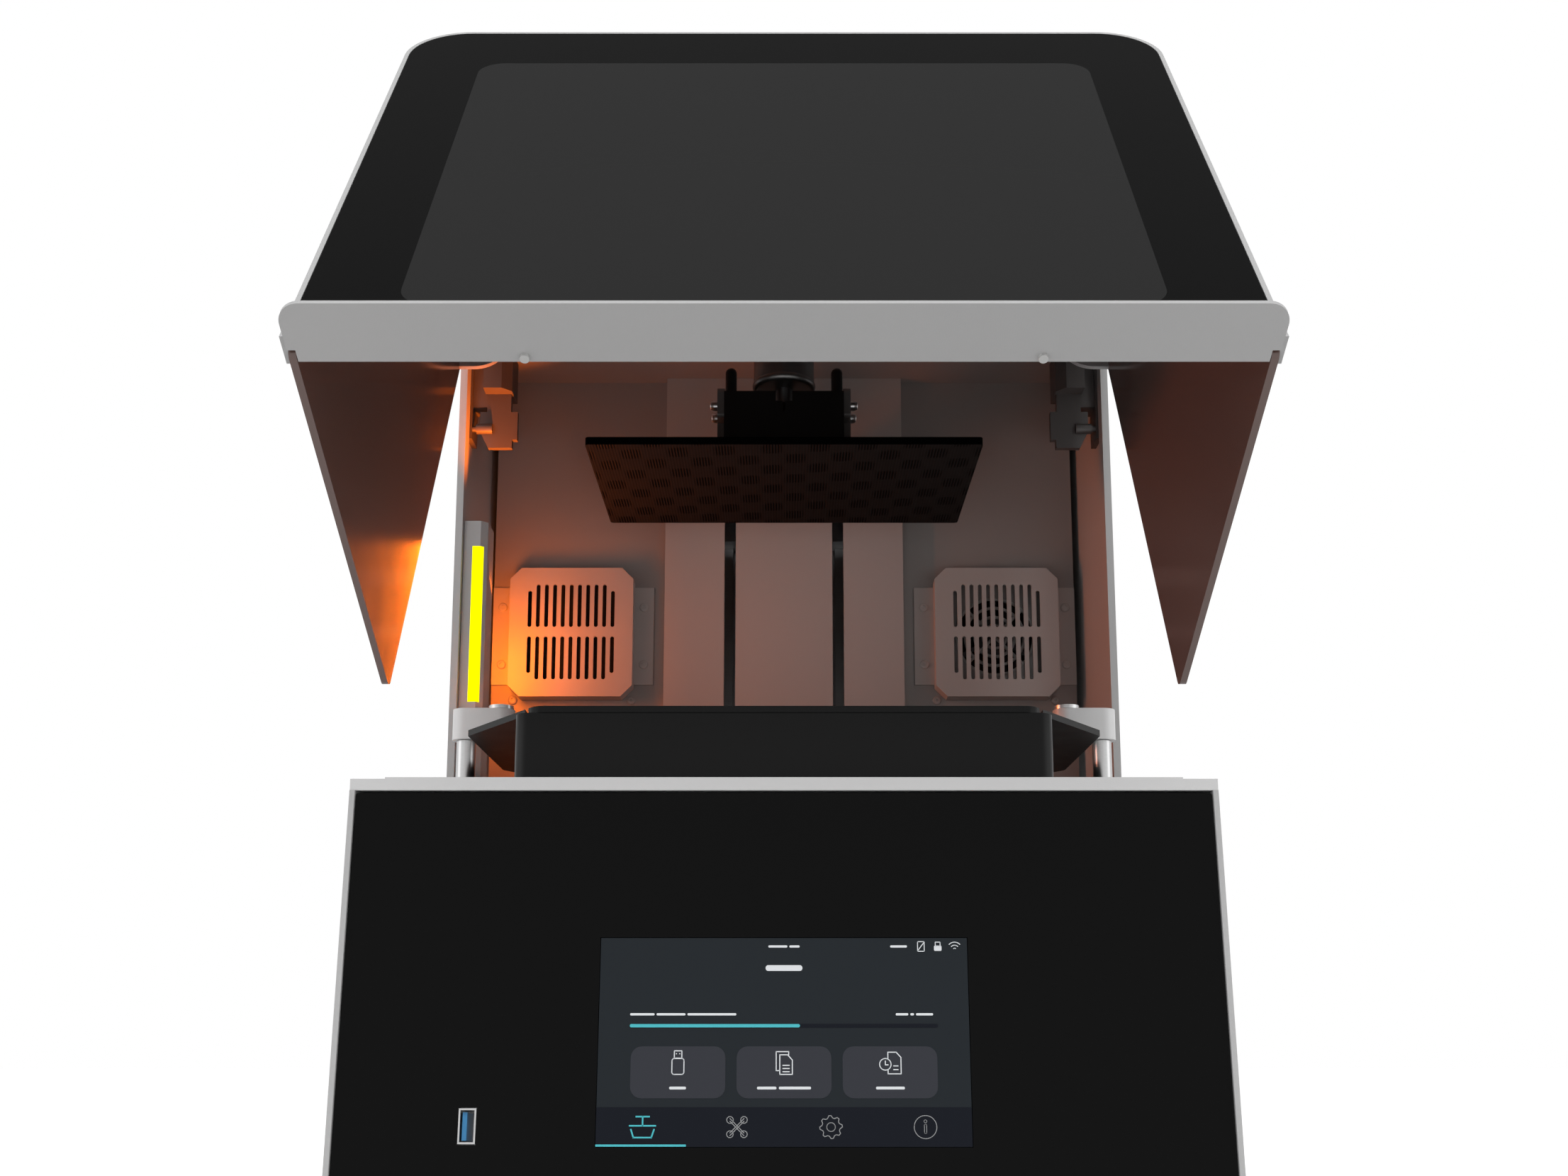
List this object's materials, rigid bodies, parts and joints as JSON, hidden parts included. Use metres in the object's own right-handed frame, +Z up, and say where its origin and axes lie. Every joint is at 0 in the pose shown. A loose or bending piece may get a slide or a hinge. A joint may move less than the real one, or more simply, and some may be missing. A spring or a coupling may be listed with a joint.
{
  "type": "resin 3-D printer",
  "caption": "Desktop resin 3-D printer with a raised flip-up hood, a lifting build plate over a resin vat, and a touch screen in its leaning front.",
  "frame": {"origin": "on the desk, midway between the outermost points left to right and front to rear with the hood raised as stored", "axes": "+X to the right seen from the front, +Y to the rear, +Z up"},
  "size_m": [0.375, 0.5211, 0.6184],
  "materials": {
    "light_grey_metal": "fine satin powder coat",
    "deck_grey_metal": "fine satin powder coat",
    "pale_metal": "satin",
    "chamber_grey_metal": "fine satin powder coat",
    "dark_steel": "turned, satin",
    "black_metal": "satin anodised",
    "black_gloss": "polished",
    "black_plastic": "matte",
    "black_rubber": "matte",
    "pale_rubber": "matte",
    "tinted_acrylic": "polished, tinted",
    "screen_glass": "polished",
    "clear_film": "clear",
    "bright_steel": "satin",
    "bare_aluminium": "satin",
    "brass_nut": "machined",
    "blue_plastic": "matte",
    "yellow_diffuser": "frosted",
    "filter_black": "open foam",
    "green_board": "solder mask"
  },
  "bodies": {
    "cabinet": {"left_side_panel": "light_grey_metal", "right_side_panel": "light_grey_metal", "base_tray": "light_grey_metal", "rubber_feet": "black_rubber", "deck_plate": "deck_grey_metal", "lower_front_panel": "black_gloss", "touch_screen": "screen_glass", "memory_stick_socket": "bright_steel", "socket_tongue": "blue_plastic", "rear_panel": "light_grey_metal", "tower_roof": "light_grey_metal", "chamber_wall": "chamber_grey_metal", "mains_inlet": "black_plastic", "exposure_screen": "screen_glass", "resin_vat": "black_metal", "release_film": "clear_film", "film_clamp_ring": "bare_aluminium", "clamp_posts": "pale_metal", "lift_cover": "chamber_grey_metal", "lift_column": "bare_aluminium", "lift_rails": "bright_steel", "lift_motor": "black_metal", "hinge_brackets": "pale_metal", "hinge_pins": "bright_steel", "air_grilles": "chamber_grey_metal", "grille_screws": "bright_steel", "chamber_fan_frame": "black_plastic", "filter_cartridge": "filter_black", "lamp_housing": "pale_metal", "lamp_strip": "yellow_diffuser", "light_box": "bare_aluminium", "exposure_led_board": "green_board", "heat_sink": "bare_aluminium", "cooler_frame": "black_plastic", "power_supply": "bare_aluminium", "control_board": "green_board"},
    "hood": {"hood_frame": "light_grey_metal", "hood_front": "black_gloss", "hood_windows": "tinted_acrylic", "hood_lip": "light_grey_metal", "hood_bumpers": "pale_rubber", "hood_hinge_arms": "pale_metal"},
    "carriage": {"build_plate": "black_metal", "plate_bracket": "black_metal", "holder_block": "black_metal", "lift_arms": "dark_steel", "arm_bolts": "bright_steel", "holder_pillars": "black_plastic", "rail_runners": "bright_steel", "carriage_plate": "bare_aluminium", "lead_nut": "brass_nut"},
    "knob": {"plate_knob": "dark_steel"},
    "screw": {"lead_screw": "bright_steel"},
    "left_clamp": {"left_vat_clamp": "pale_metal"},
    "right_clamp": {"right_vat_clamp": "pale_metal"},
    "left_thumb_screw": {"left_clamp_screw": "bright_steel"},
    "right_thumb_screw": {"right_clamp_screw": "bright_steel"},
    "fan_rotor": {"chamber_fan_rotor": "black_plastic"},
    "cooler_fan_rotor": {"cooler_rotor": "black_plastic"},
    "switch_rocker": {"power_switch_rocker": "black_plastic"}
  },
  "joints": [
    {"name": "hood_hinge", "type": "hinge", "parent": "cabinet", "child": "hood", "pos_m": [0, 0.079, 0.5221], "axis": [-1, 0, 0], "range_deg": [-30.5, 44.5]},
    {"name": "plate_lift", "type": "slide", "parent": "cabinet", "child": "carriage", "axis": [0, 0, 1], "range_m": [-0.1801, 0.0156]},
    {"name": "screw_turn", "type": "hinge", "parent": "cabinet", "child": "screw", "pos_m": [0, 0.221, 0.37], "axis": [0, 0, -1], "continuous": true},
    {"name": "knob_turn", "type": "hinge", "parent": "carriage", "child": "knob", "pos_m": [0, 0.019, 0.47], "axis": [0, 0, 1], "range_deg": [0, 540]},
    {"name": "left_clamp_swing", "type": "hinge", "parent": "cabinet", "child": "left_clamp", "pos_m": [-0.1736, 0.052, 0.283], "axis": [0, 0, -1], "range_deg": [0, 90]},
    {"name": "right_clamp_swing", "type": "hinge", "parent": "cabinet", "child": "right_clamp", "pos_m": [0.1736, 0.052, 0.283], "axis": [0, 0, 1], "range_deg": [0, 90]},
    {"name": "left_thumb_turn", "type": "hinge", "parent": "left_clamp", "child": "left_thumb_screw", "pos_m": [-0.155, 0.052, 0.283], "axis": [0, 0, 1], "range_deg": [0, 720]},
    {"name": "right_thumb_turn", "type": "hinge", "parent": "right_clamp", "child": "right_thumb_screw", "pos_m": [0.155, 0.052, 0.283], "axis": [0, 0, 1], "range_deg": [0, 720]},
    {"name": "fan_spin", "type": "hinge", "parent": "cabinet", "child": "fan_rotor", "pos_m": [0.131, 0.166, 0.3607], "axis": [0, 1, 0], "continuous": true},
    {"name": "cooler_spin", "type": "hinge", "parent": "cabinet", "child": "cooler_fan_rotor", "pos_m": [0, 0.019, 0.056], "axis": [0, 0, 1], "continuous": true},
    {"name": "power_rocker", "type": "hinge", "parent": "cabinet", "child": "switch_rocker", "pos_m": [-0.12, 0.26, 0.062], "axis": [-1, 0, 0], "range_deg": [0, 14]}
  ],
  "couplings": [
    {"joint": "screw_turn", "follows": "plate_lift", "rad_per_m": 1570.8}
  ]
}
